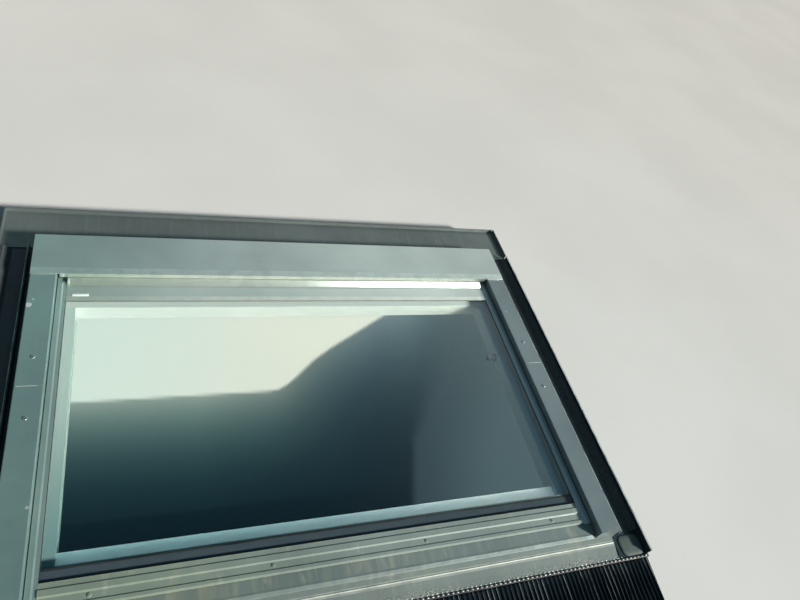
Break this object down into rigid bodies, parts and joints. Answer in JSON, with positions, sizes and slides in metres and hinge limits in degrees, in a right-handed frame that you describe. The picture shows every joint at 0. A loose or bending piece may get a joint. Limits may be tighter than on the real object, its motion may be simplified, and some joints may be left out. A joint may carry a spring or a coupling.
{
  "type": "roof window",
  "caption": "Centre-pivot roof window with white frame and sash, grey metal cladding, sealed double glazing, side gutters and a pleated black apron.",
  "frame": {"origin": "centre of the fixing brackets' hole pattern, on the underside of their feet, which is the top of the roof battens", "axes": "+X along the eaves to the right, +Y up the roof slope, +Z out of the roof"},
  "size_m": [1.52, 1.334, 0.1136],
  "materials": {
    "frame_cladding": "matt lacquered, dusty",
    "hood_cladding": "matt lacquered, dusty",
    "lower_cladding": "matt lacquered, water-run dirt",
    "sash_cladding": "matt lacquered",
    "flashing": "matt lacquered sheet",
    "sill_flashing": "matt lacquered sheet with grit",
    "apron": "pleated black sheet",
    "frame_timber": "white lacquered",
    "sash_timber": "white lacquered",
    "outer_glass": "clear float, slightly green",
    "inner_glass": "coated float",
    "spacer": "dark anodised",
    "edge_seal": "black sealant",
    "gasket": "matt black",
    "zinc_steel": "zinc plated",
    "galvanised": "hot-dip galvanised",
    "screw": "stainless",
    "bar": "satin anodised",
    "flap": "satin",
    "lock": "moulded grey",
    "filter": "open foam in a moulded tray",
    "foam": "soft closed-cell foam"
  },
  "bodies": {
    "frame": {"frame_top_member": "frame_timber", "frame_bottom_member": "frame_timber", "frame_left_member": "frame_timber", "frame_right_member": "frame_timber", "hood": "hood_cladding", "left_upper_cover": "frame_cladding", "left_lower_cover": "frame_cladding", "right_upper_cover": "frame_cladding", "right_lower_cover": "frame_cladding", "cover_joint_clips": "bar", "bottom_frame_cover": "lower_cladding", "cover_screws": "screw", "bracket_top_left": "galvanised", "bracket_top_right": "galvanised", "bracket_bottom_left": "galvanised", "bracket_bottom_right": "galvanised", "bracket_screws": "screw", "flashing_top": "flashing", "flashing_left": "flashing", "flashing_right": "flashing", "flashing_sill": "sill_flashing", "pleated_apron": "apron", "foam_strip_left": "foam", "foam_strip_right": "foam", "hinge_frame_plate_left": "zinc_steel", "hinge_frame_plate_right": "zinc_steel", "pivot_pins": "screw", "frame_fitting_screws": "screw", "strike_plate": "zinc_steel", "bolt_bushes": "lock"},
    "sash": {"sash_top_member": "sash_timber", "sash_bottom_member": "sash_timber", "sash_left_member": "sash_timber", "sash_right_member": "sash_timber", "outer_pane": "outer_glass", "inner_pane": "inner_glass", "spacer_bar": "spacer", "edge_seal": "edge_seal", "glazing_gasket": "gasket", "sash_top_cover": "sash_cladding", "sash_bottom_cover": "sash_cladding", "sash_left_cover": "sash_cladding", "sash_right_cover": "sash_cladding", "sash_cover_screws": "screw", "sash_gasket_left": "gasket", "sash_gasket_right": "gasket", "sash_gasket_top": "gasket", "sash_gasket_bottom": "gasket", "hinge_sash_plate_left": "zinc_steel", "hinge_sash_plate_right": "zinc_steel", "sash_fitting_screws": "screw", "lock_case": "lock", "bar_bracket_left": "zinc_steel", "bar_bracket_right": "zinc_steel", "vent_filter_cassette": "filter", "bolt_case": "lock"},
    "bar": {"control_bar": "bar"},
    "flap": {"vent_flap": "flap"},
    "latch": {"latch_tongue": "zinc_steel"},
    "bolt": {"barrel_bolt": "zinc_steel"}
  },
  "joints": [
    {"name": "sash_pivot", "type": "hinge", "parent": "frame", "child": "sash", "pos_m": [0, 0.015, -0.002], "axis": [-1, 0, 0], "range_deg": [0, 160]},
    {"name": "bar_hinge", "type": "hinge", "parent": "sash", "child": "bar", "pos_m": [0, 0.392, -0.022], "axis": [1, 0, 0], "range_deg": [-25, 0]},
    {"name": "flap_hinge", "type": "hinge", "parent": "sash", "child": "flap", "pos_m": [0, 0.388, 0.0396], "axis": [1, 0, 0], "range_deg": [0, 16]},
    {"name": "latch_slide", "type": "slide", "parent": "sash", "child": "latch", "axis": [0, 1, 0], "range_m": [0, 0.012]},
    {"name": "bolt_slide", "type": "slide", "parent": "sash", "child": "bolt", "axis": [1, 0, 0], "range_m": [0, 0.014]}
  ],
  "couplings": [
    {"joint": "flap_hinge", "follows": "bar_hinge", "ratio": -0.6399},
    {"joint": "latch_slide", "follows": "bar_hinge", "m_per_rad": -0.0275}
  ]
}
